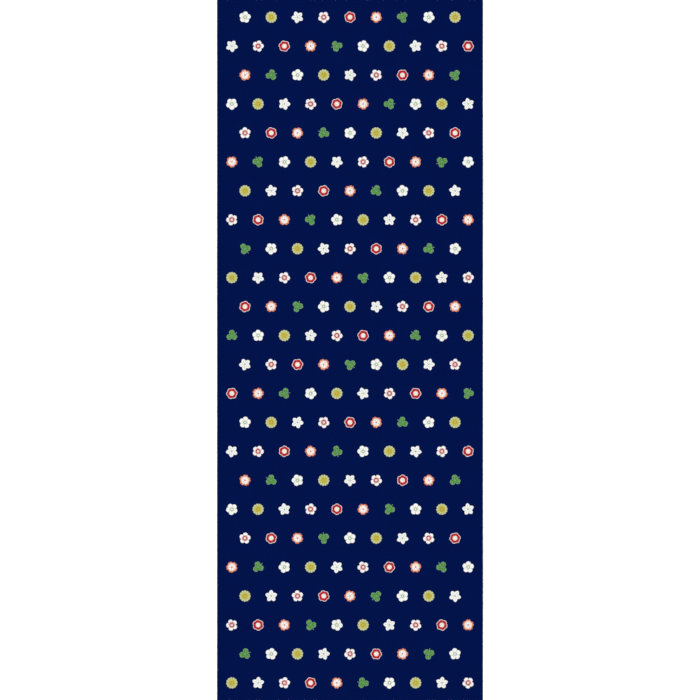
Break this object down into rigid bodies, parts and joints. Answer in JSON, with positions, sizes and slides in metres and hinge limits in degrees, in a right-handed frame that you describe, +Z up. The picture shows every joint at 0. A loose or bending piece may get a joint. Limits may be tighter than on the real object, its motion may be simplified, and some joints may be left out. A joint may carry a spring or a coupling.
{
  "type": "tenugui towel",
  "caption": "Long narrow plain-woven cotton towel lying flat, navy ground with small scattered flower and leaf motifs, selvedges on the long sides and cut ends without hems.",
  "frame": {"origin": "middle of the flat underside, on the surface that the towel lies on", "axes": "+X across the width, +Y along the length, +Z up through the cloth's thickness, printed face up"},
  "size_m": [0.341, 0.9, 0.0018],
  "materials": {
    "dyed_cotton": "matte plain weave, navy ground with small printed motifs in white, red, olive yellow, salmon and green"
  },
  "bodies": {
    "root": {"cloth": "dyed_cotton"}
  },
  "joints": []
}
